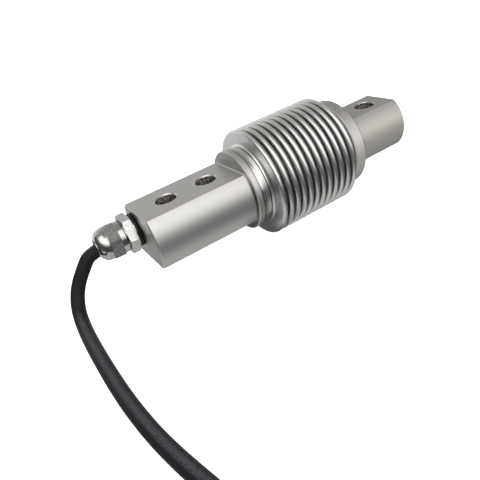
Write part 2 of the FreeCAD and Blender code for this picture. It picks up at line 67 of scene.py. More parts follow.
# Cable: corners of its route in millimetres, and its coil's lanes in diameters from their middle,
# row by row, where each row nests in the hollows of the one below
CABLE_D = 5.3 * MM
SHEATH_DEPTH = 4.5 * MM
CABLE_STRAIGHT = 1.9 * MM
CABLE_ROUTE = (
    (-45.4, 6.3, 6.3),
    (-50.6, 5.7, 0.2),
    (-53.8, 2.3, -5.5),
    (-55.1, -4.3, -9.0),
    (-55.6, -14.7, -9.85),
    (-55.7, -29.0, -9.85),
    (-55.5, -44.2, -9.85),
    (-54.7, -59.3, -9.85),
    (-52.8, -75.1, -9.85),
    (-49.4, -91.3, -9.85),
    (-45.7, -106.6, -9.85),
    (-40.0, -121.5, -9.85),
    (-32.0, -135.4, -9.85),
    (-21.7, -147.7, -9.85),
    (-9.6, -158.2, -9.65),
    (3.8, -166.9, -9.35),
    (18.0, -174.3, -9.05),
)
COIL_LANES = ((1.5, 0.5, -0.5, -1.5), (-2, -1, 0, 1, 2), (1.5, 0.5, -0.5, -1.5), (-1, 0))
COIL_WIDEST_ROW = 5
ROW_RISE = CABLE_D * math.sqrt(0.75)
COIL_ENTRY = 245.0
POINTS_PER_TURN = 24
LANE_CHANGE_POINTS = 3
TAIL_FROM = 280.0
TAIL_ANGLE = 70.0
TAIL_POINTS = 6
TAIL_LANE = -0.5
TAIL_FIT = 0.05 * MM

# Bellows: the convolutions of its solid, drawn as an even mesh
CONVOLUTIONS = 12
BELLOWS_WALL = 0.3 * MM
CREST_R = 1.0 * MM
ROOT_R = 0.585 * MM
CONVOLUTION_H = 6.5 * MM
CUFF_L = 2.3 * MM
CUFF_FILLET = 1.1 * MM
CREST_STEPS = 12
ROOT_STEPS = 10
FILLET_STEPS = 6
ROUND_STEPS = 120
SEAM_GAP = 0.001 * MM
SHARP_ANGLE = math.radians(35)

# Finishes: widths of lines and zones, reach and strength of the weld's tint,
# and the share of a normal that points along the beam or up
WALL_MARGIN = 0.03 * MM
RIM_MARGIN = 0.42 * MM
COLLAR_MARGIN = 1 * MM
POLISHED_L = 1.4 * MM
GROOVE_W = 0.3 * MM
SHOULDER_X = 20.25 * MM
# SHOULDER_SHADE is how far the painted shade at the shoulder's corner reaches
SHOULDER_SHADE = 0.8 * MM
SEAM_W = 0.5 * MM
JOINT_W = 0.8 * MM
CREASE_SHADE_W = 0.5 * MM
BLASTED_TINT = (6 * MM, 0.08)
FORMED_TINT = (1.2 * MM, 0.25)
CLOUD_SHARE = 0.25
END_FACING = 0.95
TURNED_FACING = (0.95, 0.78)
SIDE_FACING = (0.85, 0.3)
TOP_HIGHLIGHT_FACING = (0.84, 1.0)
GRID_L = 4.8 * MM
GRID_W = 3.4 * MM
PAD_L = 2.4 * MM
CHIP_FACE_L = 2.2 * MM
STRAP_TEETH = 76

# Studio: levels of the room by elevation in degrees about its upright, all round,
# at the window in front and at the wall behind
ROOM_UP = Vector((0.263, -0.109, 0.958))
ROOM_ROUND = ((-90, 0.6), (-44, 0.6), (-31, 0.11), (4, 0.11), (22, 0.4), (90, 0.34))
ROOM_WINDOW = (
    (-90, 0.6), (-44, 0.6), (-31, 0.1), (1, 0.1), (13, 0.75),
    (26, 1.6), (64, 1.6), (77, 0.42), (90, 0.34),
)
ROOM_BACK = (
    (-90, 0.5), (-37, 0.42), (-18, 0.95), (8, 0.85), (27, 0.6), (44, 0.45), (90, 0.34),
)
# Where window and wall are: azimuth, and from it the edge where they fade out and where they are full
WINDOW_SECTOR = (-116, 94, 52)
BACK_SECTOR = (74, 60, 50)
WHITE_LEVEL = 1.2
TABLE_GLOW = 0.9
# The painted shadow card glows grey at this strength
CARD_GLOW = 1.0
SHEET_ROUGHNESS = 0.9
TABLE_CORNERS = ((-20000, -20000), (20000, -20000), (20000, 20000), (-20000, 20000))
# The card is a painted shadow, a glowing grey sheet that only metal mirrors;
# it lies under the shank's end, the collar and the first folds
CARD_CORNERS = (
    (21, -16), (27, -16), (27, -30), (33, -30), (33, -19),
    (31, -19), (31, 25), (4, 25), (4, -2), (21, -2),
)
KEY_DIRECTION = Vector((-0.24, -0.66, 0.71))
KEY_DISTANCE = 0.6
KEY_SIZE = (0.3, 0.25)
KEY_WATTS = 0.2

# Places read from the frame
coil_low, coil_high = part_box("cable_coil")
COIL_CENTRE = (coil_low + coil_high) / 2
COIL_MIDDLE_R = (coil_high.x - coil_low.x - COIL_WIDEST_ROW * CABLE_D) / 2
bellows_low, bellows_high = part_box("bellows")
BEAM_AXIS_Z = (bellows_low.z + bellows_high.z) / 2
FLOOR_Z = bellows_low.z
PITCH = 2 * (CREST_R + ROOT_R)
CUFF_R = bellows_high.z - BEAM_AXIS_Z - CONVOLUTION_H
COLLAR_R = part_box("spring_element")[1].y
RING_END_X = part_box("weld_ring")[1].x
BOLT_SPACING = mounts["fixing_bolts"]["dims"]["spacing_x_mm"] * MM
BOLT_HOLE_R = mounts["fixing_bolts"]["dims"]["hole_r_mm"] * MM
HOLE_PLACES = (-BOLT_SPACING / 2, BOLT_SPACING / 2, mounts["load_hole"]["pos_m"][0])


def linear(code):
    """An sRGB hex colour as linear red, green, blue and alpha."""
    channels = [int(code[i : i + 2], 16) / 255 for i in (1, 3, 5)]
    return [c / 12.92 if c <= 0.04045 else ((c + 0.055) / 1.055) ** 2.4 for c in channels] + [1]


def per(millimetres):
    """The scale of a pattern whose features are that many millimetres wide."""
    return 1 / (millimetres * MM)


def fill(tree, node, inputs):
    """Sets a node's inputs. Each takes a value, or the socket that feeds it."""
    for name, value in inputs.items():
        if isinstance(value, bpy.types.NodeSocket):
            tree.links.new(value, node.inputs[name])
        else:
            node.inputs[name].default_value = value


def add(tree, kind, inputs=None, **settings):
    """Adds a node with its settings and inputs."""
    node = tree.nodes.new(kind)
    for name, value in settings.items():
        setattr(node, name, value)
    fill(tree, node, inputs or {})
    return node


def link_to_scene(name, data):
    """A new object of that data, at the origin."""
    obj = bpy.data.objects.new(name, data)
    scene.collection.objects.link(obj)
    return obj


def place_camera():
    """The camera at the photograph's own viewpoint."""
    data = bpy.data.cameras.new("camera")
    data.lens = data.sensor_width * FOCAL_PX / IMAGE_PX
    data.clip_start = 1 * MM
    obj = link_to_scene("camera", data)
    right = CAMERA_LOOK.cross(CAMERA_UP)
    turn = Matrix((right, CAMERA_UP, -CAMERA_LOOK)).transposed().to_4x4()
    obj.matrix_world = Matrix.Translation(CAMERA_AT) @ turn
    scene.camera = obj


# Cable

def cable_exit():
    """Where the cable leaves the gland's cap, on the gland's axis."""
    low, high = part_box("gland_o_ring")
    return Vector((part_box("gland_cap_nut")[0].x, (low.y + high.y) / 2, (low.z + high.z) / 2))


def over_coil(lane, height, angle):
    """A point at a height over the coil, in a lane and at an angle round its centre."""
    radius = COIL_MIDDLE_R + lane * CABLE_D
    turn = math.radians(angle)
    return Vector((
        COIL_CENTRE.x + radius * math.cos(turn),
        COIL_CENTRE.y + radius * math.sin(turn),
        height,
    ))


def cable_points():
    """The cable's control points: out of the gland, over the table and round the coil to its top."""
    leaves = cable_exit()
    points = [
        Vector((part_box("spring_element")[0].x + SHEATH_DEPTH, leaves.y, leaves.z)),
        leaves - Vector((CABLE_STRAIGHT, 0, 0)),
    ]
    points += [Vector(corner) * MM for corner in CABLE_ROUTE]
    top = coil_high.z + TAIL_FIT + CABLE_D / 2
    turns = []
    for i, lanes in enumerate(COIL_LANES):
        height = coil_low.z + CABLE_D / 2 + i * ROW_RISE
        turns += [(lane, height) for lane in lanes]
    turns.append((TAIL_LANE, top))
    for (lane, height), (next_lane, next_height) in zip(turns, turns[1:]):
        for i in range(POINTS_PER_TURN):
            change = max(0, 1 - (POINTS_PER_TURN - i) / LANE_CHANGE_POINTS)
            points.append(over_coil(
                lane + change * (next_lane - lane),
                height + change * (next_height - height),
                COIL_ENTRY + 360 * i / POINTS_PER_TURN,
            ))
    for i in range(TAIL_POINTS):
        points.append(over_coil(TAIL_LANE, top, TAIL_FROM + TAIL_ANGLE * i / (TAIL_POINTS - 1)))
    return points


def signal_cable(finish):
    """The sheathed cable as one smooth line of its real length."""
    curve = bpy.data.curves.new("signal_cable", "CURVE")
    curve.dimensions = "3D"
    curve.resolution_u = 6
    curve.bevel_depth = CABLE_D / 2
    curve.bevel_resolution = 8
    curve.use_fill_caps = True
    points = cable_points()
    spline = curve.splines.new("NURBS")
    spline.points.add(len(points) - 1)
    for point, place in zip(spline.points, points):
        point.co = (*place, 1)
    spline.order_u = 3
    spline.use_endpoint_u = True
    curve.materials.append(finish)
    cable = link_to_scene("signal_cable", curve)
    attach(cable, "root")
    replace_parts(cable, "cable", "cable_coil", "cable_tail")


# Bellows

def arc(x, radius, bend_r, start, end, steps):
    """Points of a bend in the section plane, about a centre at x and radius, by angles in degrees."""
    points = []
    for i in range(steps + 1):
        angle = math.radians(start + (end - start) * i / steps)
        points.append((x + bend_r * math.cos(angle), radius + bend_r * math.sin(angle)))
    return points


def spin_round_beam(outlines):
    """A mesh of section lines, each a list of (x, radius), turned round the beam's axis."""
    shape = bmesh.new()
    for outline in outlines:
        corners = [shape.verts.new((x, 0, BEAM_AXIS_Z + radius)) for x, radius in outline]
        for a, b in zip(corners, corners[1:]):
            shape.edges.new((a, b))
    bmesh.ops.spin(
        shape,
        geom=shape.verts[:] + shape.edges[:],
        cent=(0, 0, BEAM_AXIS_Z),
        axis=(1, 0, 0),
        angle=2 * math.pi,
        steps=ROUND_STEPS,
        use_merge=True,
    )
    mesh = bpy.data.meshes.new("turned_shape")
    shape.to_mesh(mesh)
    shape.free()
    return mesh


def fold_section(inset):
    """The skin from the first crest's top through the root to the next crest's top."""
    crest_x = bellows_low.x + CUFF_L + CUFF_FILLET + CREST_R
    crest_r = CUFF_R + CONVOLUTION_H - CREST_R
    return (
        arc(crest_x, crest_r, CREST_R - inset, 90, 0, CREST_STEPS // 2)
        + arc(crest_x + PITCH / 2, CUFF_R + ROOT_R, ROOT_R + inset, 180, 360, ROOT_STEPS)
        + arc(crest_x + PITCH, crest_r, CREST_R - inset, 180, 90, CREST_STEPS // 2)
    )


def cuff_section(inset):
    """The skin from the near cuff's end over its fillet to the first crest's top."""
    cuff_x = bellows_low.x + CUFF_L
    crest_x = cuff_x + CUFF_FILLET + CREST_R
    crest_r = CUFF_R + CONVOLUTION_H - CREST_R
    return (
        [(bellows_low.x, CUFF_R - inset)]
        + arc(cuff_x, CUFF_R + CUFF_FILLET, CUFF_FILLET + inset, 270, 360, FILLET_STEPS)
        + arc(crest_x, crest_r, CREST_R - inset, 180, 90, CREST_STEPS // 2)
    )


def fold_row_tree():
    """Nodes that set a fold over and over along the beam and weld the copies into one skin."""
    tree = bpy.data.node_groups.new("row_of_folds", "GeometryNodeTree")
    for name, kind in (
        ("Geometry", "NodeSocketGeometry"),
        ("Folds", "NodeSocketInt"),
        ("Pitch", "NodeSocketFloat"),
        ("Finish", "NodeSocketMaterial"),
    ):
        tree.interface.new_socket(name, in_out="INPUT", socket_type=kind)
    tree.interface.new_socket("Geometry", in_out="OUTPUT", socket_type="NodeSocketGeometry")
    given = add(tree, "NodeGroupInput").outputs
    step = add(tree, "ShaderNodeCombineXYZ", {"X": given["Pitch"]})
    line = add(tree, "GeometryNodeMeshLine", {"Count": given["Folds"], "Offset": step.outputs[0]})
    row = add(tree, "GeometryNodeInstanceOnPoints", {
        "Points": line.outputs[0], "Instance": given["Geometry"],
    })
    real = add(tree, "GeometryNodeRealizeInstances", {"Geometry": row.outputs[0]})
    welded = add(tree, "GeometryNodeMergeByDistance", {
        "Geometry": real.outputs[0], "Distance": SEAM_GAP,
    })
    done = add(tree, "GeometryNodeSetMaterial", {
        "Geometry": welded.outputs[0], "Material": given["Finish"],
    })
    add(tree, "NodeGroupOutput", {"Geometry": done.outputs[0]})
    return tree


def run_tree(name, tree, seed_mesh, values):
    """An object with the plain mesh that a node tree makes of a seed mesh."""
    obj = link_to_scene(name, seed_mesh)
    modifier = obj.modifiers.new(name, "NODES")
    modifier.node_group = tree
    for item in tree.interface.items_tree:
        if item.in_out == "INPUT" and item.name in values:
            modifier[item.identifier] = values[item.name]
    graph = bpy.context.evaluated_depsgraph_get()
    mesh = bpy.data.meshes.new_from_object(obj.evaluated_get(graph))
    obj.modifiers.remove(modifier)
    obj.data = mesh
    return obj


def formed_bellows(finish):
    """The bellows' thin wall: a row of folds between two cuffs, closed at the cuffs' ends."""
    fold = spin_round_beam([fold_section(0), fold_section(BELLOWS_WALL)])
    values = {"Folds": CONVOLUTIONS - 1, "Pitch": PITCH, "Finish": finish}
    bellows = run_tree("formed_bellows", fold_row_tree(), fold, values)
    near = cuff_section(0)[::-1] + cuff_section(BELLOWS_WALL)
    both_ends = bellows_low.x + bellows_high.x
    far = [(both_ends - x, radius) for x, radius in near]
    wall = bmesh.new()
    wall.from_mesh(bellows.data)
    wall.from_mesh(spin_round_beam([near, far]))
    bmesh.ops.remove_doubles(wall, verts=wall.verts, dist=SEAM_GAP)
    bmesh.ops.recalc_face_normals(wall, faces=wall.faces)
    for face in wall.faces:
        face.smooth = True
        face.material_index = 0
    wall.to_mesh(bellows.data)
    wall.free()
    bellows.data.materials.clear()
    bellows.data.materials.append(finish)
    bellows.data.set_sharp_from_angle(angle=SHARP_ANGLE)
    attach(bellows, "root")
    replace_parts(bellows, "bellows")


# Finishes

def start_finish(name):
    """A new material, its tree and shader, and the coordinates of each point on the object."""
    material = bpy.data.materials.new(name)
    material.use_nodes = True
    tree = material.node_tree
    coords = add(tree, "ShaderNodeTexCoord")
    return material, tree, tree.nodes["Principled BSDF"], coords.outputs


def from_beam_axis(tree, place):
    """How far each point lies from the beam's axis."""
    across = add(tree, "ShaderNodeVectorMath", {0: place, 1: (0, 1, 1)}, operation="MULTIPLY")
    away = add(tree, "ShaderNodeVectorMath", {
        0: across.outputs[0], 1: (0, 0, BEAM_AXIS_Z),
    }, operation="DISTANCE")
    return away.outputs["Value"]


def away_from(tree, value, middle):
    """How far a value lies from a middle one."""
    offset = add(tree, "ShaderNodeMath", {0: value, 1: middle}, operation="SUBTRACT")
    return add(tree, "ShaderNodeMath", {0: offset.outputs[0]}, operation="ABSOLUTE").outputs[0]


def in_band(tree, value, middle, width):
    """One where a value lies in a band of that width about its middle, nought elsewhere."""
    away = away_from(tree, value, middle)
    return add(tree, "ShaderNodeMath", {0: away, 1: width / 2}, operation="LESS_THAN").outputs[0]


def any_of(tree, masks):
    """One where any of the masks is one, nought elsewhere."""
    joined = masks[0]
    for mask in masks[1:]:
        joined = add(tree, "ShaderNodeMath", {0: joined, 1: mask}, operation="MAXIMUM").outputs[0]
    return joined


def weld_tint(tree, along, reach, strength):
    """The tint's strength at the weld between bellows and free end, fading to nought at its reach."""
    away = away_from(tree, along, bellows_high.x)
    near = add(tree, "ShaderNodeMapRange", {
        "Value": away, "From Min": reach, "From Max": 0, "To Max": strength,
    })
    return near.outputs[0]


def in_bolt_hole(tree, place, margin):
    """One in the bolt holes and up to a margin past their walls, nought elsewhere."""
    flat = add(tree, "ShaderNodeVectorMath", {0: place, 1: (1, 1, 0)}, operation="MULTIPLY")
    holes = []
    for x in HOLE_PLACES:
        away = add(tree, "ShaderNodeVectorMath", {
            0: flat.outputs[0], 1: (x, 0, 0),
        }, operation="DISTANCE")
        hole = add(tree, "ShaderNodeMath", {
            0: away.outputs["Value"], 1: BOLT_HOLE_R + margin,
        }, operation="LESS_THAN")
        holes.append(hole.outputs[0])
    return any_of(tree, holes)


def steel_zones(tree, coords, along, radius):
    """Masks of the zones of the blasted steel that differ in finish."""
    facing = add(tree, "ShaderNodeSeparateXYZ", {"Vector": coords["Normal"]}).outputs
    endways = add(tree, "ShaderNodeMath", {0: facing["X"]}, operation="ABSOLUTE")
    end_face = add(tree, "ShaderNodeMath", {
        0: endways.outputs[0], 1: END_FACING,
    }, operation="GREATER_THAN")
    upright = add(tree, "ShaderNodeMath", {0: facing["Z"]}, operation="ABSOLUTE")
    turned = add(tree, "ShaderNodeMapRange", {
        "Value": upright.outputs[0], "From Min": TURNED_FACING[0], "From Max": TURNED_FACING[1],
    })
    side = add(tree, "ShaderNodeMapRange", {
        "Value": upright.outputs[0], "From Min": SIDE_FACING[0], "From Max": SIDE_FACING[1],
    })
    free_end = add(tree, "ShaderNodeMath", {
        0: along, 1: bellows_high.x - SEAM_GAP,
    }, operation="GREATER_THAN")
    off_ring = add(tree, "ShaderNodeMath", {0: along, 1: RING_END_X}, operation="GREATER_THAN")
    collar = add(tree, "ShaderNodeMath", {
        0: radius, 1: COLLAR_R - COLLAR_MARGIN,
    }, operation="GREATER_THAN")
    polished_x = bellows_low.x - POLISHED_L
    beyond = add(tree, "ShaderNodeMath", {0: along, 1: polished_x}, operation="GREATER_THAN")
    polished = add(tree, "ShaderNodeMath", {
        0: beyond.outputs[0], 1: collar.outputs[0],
    }, operation="MULTIPLY")
    # Painted shade: a dark line round the collar where its polished band begins, the shade of a fine
    # groove
    groove = add(tree, "ShaderNodeMath", {
        0: in_band(tree, along, polished_x, GROOVE_W), 1: collar.outputs[0],
    }, operation="MULTIPLY")
    # Painted shade: the barrel is painted darker close to the shoulder's corner
    painted_shoulder_shade = add(tree, "ShaderNodeMapRange", {
        "Value": away_from(tree, along, SHOULDER_X),
        "From Min": SHOULDER_SHADE,
        "From Max": SHOULDER_SHADE / 4,
    })
    below_collar = add(tree, "ShaderNodeMath", {
        0: side.outputs[0], 1: collar.outputs[0],
    }, operation="SUBTRACT")
    barrel = add(tree, "ShaderNodeMath", {
        0: below_collar.outputs[0], 1: end_face.outputs[0],
    }, operation="SUBTRACT")
    corner = add(tree, "ShaderNodeMath", {
        0: painted_shoulder_shade.outputs[0], 1: barrel.outputs[0],
    }, operation="MULTIPLY", use_clamp=True)
    return {
        "end_face": end_face.outputs[0],
        "turned": turned.outputs[0],
        "side": side.outputs[0],
        "free_end": free_end.outputs[0],
        "off_ring": off_ring.outputs[0],
        "collar": collar.outputs[0],
        "polished": polished.outputs[0],
        "groove": groove.outputs[0],
        "corner": corner.outputs[0],
        "joint": in_band(tree, along, RING_END_X, JOINT_W),
        "bore": in_bolt_hole(tree, coords["Object"], WALL_MARGIN),
        "bore_rim": in_bolt_hole(tree, coords["Object"], RIM_MARGIN),
    }


def blasted_stainless():
    """Turned stainless steel, fine blasted: an even satin sheen that shows soft bands of light.

    The free end is blasted coarser and looks duller; its sides carry a painted highlight, painted
    lighter than its top and bottom. The end faces keep the lathe's rings, and the collar ends in a
    polished band behind a fine groove, whose shade is painted as a dark line. The shoulder's corner
    is darkened with painted shade. The bolt holes have dull, scored walls, and the weld a faint straw
    tint.
    """
    material, tree, shader, coords = start_finish("fine_blasted_stainless_steel")
    place = coords["Object"]
    spot = add(tree, "ShaderNodeSeparateXYZ", {"Vector": place}).outputs
    radius = from_beam_axis(tree, place)
    zone = steel_zones(tree, coords, spot["X"], radius)

    # Turned surfaces come out of the blast a little brighter than milled flats
    cloud = add(tree, "ShaderNodeTexNoise", {"Vector": place, "Scale": per(7), "Detail": 2})
    clouded = add(tree, "ShaderNodeMath", {
        0: cloud.outputs[0], 1: CLOUD_SHARE,
    }, operation="MULTIPLY")
    lightness = add(tree, "ShaderNodeMath", {
        0: zone["turned"], 1: 1 - CLOUD_SHARE, 2: clouded.outputs[0],
    }, operation="MULTIPLY_ADD")
    fine = add(tree, "ShaderNodeMix", {
        "Factor": lightness.outputs[0], "A": linear("#c4c2bf"), "B": linear("#d7d5d2"),
    }, data_type="RGBA")
    # Painted highlight on the free end and the ring: their sides are painted lighter than their top
    # and bottom
    painted_highlight_tones = add(tree, "ShaderNodeMix", {
        "Factor": zone["off_ring"], "A": linear("#f4f2ef"), "B": linear("#e4e1db"),
    }, data_type="RGBA")
    coarse = add(tree, "ShaderNodeMix", {
        "Factor": zone["side"], "A": linear("#b4b2af"), "B": painted_highlight_tones.outputs["Result"],
    }, data_type="RGBA")
    # The scores in the holes are about 0.2 mm wide and are drawn at 0.8 mm, so that they show
    scores = add(tree, "ShaderNodeTexNoise", {"Vector": place, "Scale": per(0.8), "Detail": 3})
    mottle = add(tree, "ShaderNodeMapRange", {
        "Value": scores.outputs[0], "From Min": 0.38, "From Max": 0.62,
    })
    wall = add(tree, "ShaderNodeMix", {
        "Factor": mottle.outputs[0], "A": linear("#57524c"), "B": linear("#cfcac2"),
    }, data_type="RGBA")
    tone = fine.outputs["Result"]
    for mask, colour in (
        # the free end's tone, with its painted highlight
        (zone["free_end"], coarse.outputs["Result"]),
        (weld_tint(tree, spot["X"], *BLASTED_TINT), linear("#c9b48c")),
        (zone["end_face"], linear("#b0afac")),
        (zone["bore"], wall.outputs["Result"]),
        # painted shade along the groove
        (zone["groove"], linear("#4a4845")),
        # painted shade in the shoulder's corner
        (zone["corner"], linear("#75726e")),
        (zone["joint"], linear("#625e59")),
    ):
        layer = add(tree, "ShaderNodeMix", {
            "Factor": mask, "A": tone, "B": colour,
        }, data_type="RGBA")
        tone = layer.outputs["Result"]

    roughness = 0.46
    for mask, value in (
        (zone["end_face"], 0.28),
        (zone["polished"], 0.2),
        (zone["free_end"], 0.66),
        (zone["bore_rim"], 0.24),
    ):
        layer = add(tree, "ShaderNodeMix", {
            "Factor": mask, "A": roughness, "B": value,
        }, data_type="FLOAT")
        roughness = layer.outputs["Result"]
    # What the drill left in the holes isn't all bare metal
    metallic = add(tree, "ShaderNodeMapRange", {
        "Value": zone["bore"], "To Min": 1.0, "To Max": 0.75,
    })

    # The blast's grain is about 0.05 mm and is drawn at 0.3 mm, so that it shows
    grain = add(tree, "ShaderNodeTexNoise", {"Vector": place, "Scale": per(0.3), "Detail": 3})
    blasted = add(tree, "ShaderNodeBump", {
        "Height": grain.outputs[0], "Strength": 0.25, "Distance": 0.02 * MM,
    })
    # The lathe's feed is about 0.1 mm and is drawn at 0.3 mm, so that its rings show
    path = add(tree, "ShaderNodeMath", {0: radius, 1: spot["X"]}, operation="ADD")
    rings = add(tree, "ShaderNodeTexNoise", {
        "W": path.outputs[0], "Scale": per(0.3), "Detail": 1,
    }, noise_dimensions="1D")
    ridges = add(tree, "ShaderNodeMath", {
        0: rings.outputs[0], 1: any_of(tree, (zone["end_face"], zone["collar"])),
    }, operation="MULTIPLY")
    lathe = add(tree, "ShaderNodeBump", {
        "Height": ridges.outputs[0],
        "Strength": 0.55,
        "Distance": 0.05 * MM,
        "Normal": blasted.outputs[0],
    })
    # The drill's feed is about 0.1 mm and is drawn at 0.5 mm, so that it shows
    spiral = add(tree, "ShaderNodeTexNoise", {
        "W": spot["Z"], "Scale": per(0.5), "Detail": 2,
    }, noise_dimensions="1D")
    scored = add(tree, "ShaderNodeMath", {
        0: spiral.outputs[0], 1: scores.outputs[0],
    }, operation="ADD")
    bored = add(tree, "ShaderNodeMath", {
        0: scored.outputs[0], 1: zone["bore"],
    }, operation="MULTIPLY")
    drill = add(tree, "ShaderNodeBump", {
        "Height": bored.outputs[0],
        "Strength": 0.7,
        "Distance": 0.2 * MM,
        "Normal": lathe.outputs[0],
    })
    fill(tree, shader, {
        "Base Color": tone,
        "Metallic": metallic.outputs[0],
        "Roughness": roughness,
        "Normal": drill.outputs[0],
    })
    return material


def formed_stainless():
    """Thin stainless tube, cold formed: bright and drawn out in fine lines round it.

    A line of painted shade runs where the near cuff turns into the first fold; the weld has a straw
    tint.
    """
    material, tree, shader, coords = start_finish("cold_formed_stainless_steel")
    place = coords["Object"]
    along = add(tree, "ShaderNodeSeparateXYZ", {"Vector": place}).outputs["X"]
    section = add(tree, "ShaderNodeCombineXYZ", {"X": along, "Y": from_beam_axis(tree, place)})
    # The forming's lines are about 0.05 mm wide and are drawn at 0.35 mm, so that they show
    lines = add(tree, "ShaderNodeTexNoise", {
        "Vector": section.outputs[0], "Scale": per(0.35), "Detail": 2,
    })
    steel = add(tree, "ShaderNodeMix", {
        "Factor": lines.outputs[0], "A": linear("#dad9d7"), "B": linear("#eae9e7"),
    }, data_type="RGBA")
    tinted = add(tree, "ShaderNodeMix", {
        "Factor": weld_tint(tree, along, *FORMED_TINT),
        "A": steel.outputs["Result"],
        "B": linear("#c2ad84"),
    }, data_type="RGBA")
    # Painted shade: a dark line in the crease where the near cuff turns into the first fold
    tone = add(tree, "ShaderNodeMix", {
        "Factor": in_band(tree, along, bellows_low.x + CUFF_L, CREASE_SHADE_W),
        "A": tinted.outputs["Result"],
        "B": linear("#5a5753"),
    }, data_type="RGBA")
    patches = add(tree, "ShaderNodeTexNoise", {"Vector": place, "Scale": per(5), "Detail": 2})
    gloss = add(tree, "ShaderNodeMapRange", {
        "Value": patches.outputs[0], "To Min": 0.24, "To Max": 0.34,
    })
    bump = add(tree, "ShaderNodeBump", {
        "Height": lines.outputs[0], "Strength": 0.2, "Distance": 0.02 * MM,
    })
    fill(tree, shader, {
        "Base Color": tone.outputs["Result"],
        "Metallic": 1.0,
        "Roughness": gloss.outputs[0],
        "Normal": bump.outputs[0],
    })
    return material


def nickel_plate():
    """Brass, turned and nickel plated: mirror bright, mottled where it has dulled.

    A dark joint runs round it where the cap nut meets the body.
    """
    material, tree, shader, coords = start_finish("nickel_plated_brass")
    place = coords["Object"]
    along = add(tree, "ShaderNodeSeparateXYZ", {"Vector": place}).outputs["X"]
    # The dull spots are about 0.3 mm wide and are drawn at 0.9 mm, so that they show
    spots = add(tree, "ShaderNodeTexNoise", {"Vector": place, "Scale": per(0.9), "Detail": 2})
    dulled = add(tree, "ShaderNodeMapRange", {
        "Value": spots.outputs[0], "From Min": 0.3, "From Max": 0.7,
    })
    plate = add(tree, "ShaderNodeMix", {
        "Factor": dulled.outputs[0], "A": linear("#b0afab"), "B": linear("#d9d8d5"),
    }, data_type="RGBA")
    tone = add(tree, "ShaderNodeMix", {
        "Factor": in_band(tree, along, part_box("gland_cap_nut")[1].x, SEAM_W),
        "A": plate.outputs["Result"],
        "B": linear("#2f2d2a"),
    }, data_type="RGBA")
    haze = add(tree, "ShaderNodeTexNoise", {"Vector": place, "Scale": per(2.5), "Detail": 4})
    gloss = add(tree, "ShaderNodeMapRange", {
        "Value": haze.outputs[0], "To Min": 0.05, "To Max": 0.18,
    })
    # The tool's marks are about 0.05 mm apart and are drawn at 0.2 mm, so that they show
    marks = add(tree, "ShaderNodeTexNoise", {"Vector": place, "Scale": per(0.2), "Detail": 1})
    bump = add(tree, "ShaderNodeBump", {
        "Height": marks.outputs[0], "Strength": 0.06, "Distance": 0.01 * MM,
    })
    fill(tree, shader, {
        "Base Color": tone.outputs["Result"],
        "Metallic": 1.0,
        "Roughness": gloss.outputs[0],
        "Normal": bump.outputs[0],
    })
    return material


def moulded(name, dark, light, roughness, grain_mm, depth_mm):
    """A moulded, extruded or poured plastic or rubber: a soft grain and a slightly clouded tone."""
    material, tree, shader, coords = start_finish(name)
    place = coords["Object"]
    cloud = add(tree, "ShaderNodeTexNoise", {
        "Vector": place, "Scale": per(12 * grain_mm), "Detail": 3,
    })
    tone = add(tree, "ShaderNodeMix", {
        "Factor": cloud.outputs[0], "A": linear(dark), "B": linear(light),
    }, data_type="RGBA")
    gloss = add(tree, "ShaderNodeMapRange", {
        "Value": cloud.outputs[0], "To Min": roughness - 0.06, "To Max": roughness + 0.06,
    })
    # The real grain is under 0.1 mm and is drawn two or three times as coarse, so that it shows
    grain = add(tree, "ShaderNodeTexNoise", {"Vector": place, "Scale": per(grain_mm), "Detail": 2})
    bump = add(tree, "ShaderNodeBump", {
        "Height": grain.outputs[0], "Strength": 0.3, "Distance": depth_mm * MM,
    })
    fill(tree, shader, {
        "Base Color": tone.outputs["Result"],
        "Roughness": gloss.outputs[0],
        "Normal": bump.outputs[0],
    })
    return material


def matt_sheath():
    """PVC, extruded and matt: soft black, with a speckled painted highlight along its top."""
    material, tree, shader, coords = start_finish("extruded_matt_black_pvc")
    place = coords["Object"]
    up = add(tree, "ShaderNodeSeparateXYZ", {"Vector": coords["Normal"]}).outputs["Z"]
    facing_up = add(tree, "ShaderNodeMapRange", {
        "Value": up, "From Min": TOP_HIGHLIGHT_FACING[0], "From Max": TOP_HIGHLIGHT_FACING[1],
    })
    # The painted highlight along the top is broken into specks about 0.8 mm wide
    specks = add(tree, "ShaderNodeTexNoise", {"Vector": place, "Scale": per(0.8), "Detail": 3})
    painted_top_highlight = add(tree, "ShaderNodeMath", {
        0: facing_up.outputs[0], 1: specks.outputs[0],
    }, operation="MULTIPLY")
    # Painted highlight: the top is painted greyer than the sides
    tone = add(tree, "ShaderNodeMix", {
        "Factor": painted_top_highlight.outputs[0], "A": linear("#232327"), "B": linear("#626268"),
    }, data_type="RGBA")
    gloss = add(tree, "ShaderNodeMapRange", {
        "Value": specks.outputs[0], "To Min": 0.5, "To Max": 0.6,
    })
    # The matt skin's grain is about 0.1 mm and is drawn at 0.25 mm, so that it shows
    grain = add(tree, "ShaderNodeTexNoise", {"Vector": place, "Scale": per(0.25), "Detail": 2})
    bump = add(tree, "ShaderNodeBump", {
        "Height": grain.outputs[0], "Strength": 0.3, "Distance": 0.01 * MM,
    })
    fill(tree, shader, {
        "Base Color": tone.outputs["Result"],
        "Roughness": gloss.outputs[0],
        "Specular IOR Level": 0.15,
        "Normal": bump.outputs[0],
    })
    return material


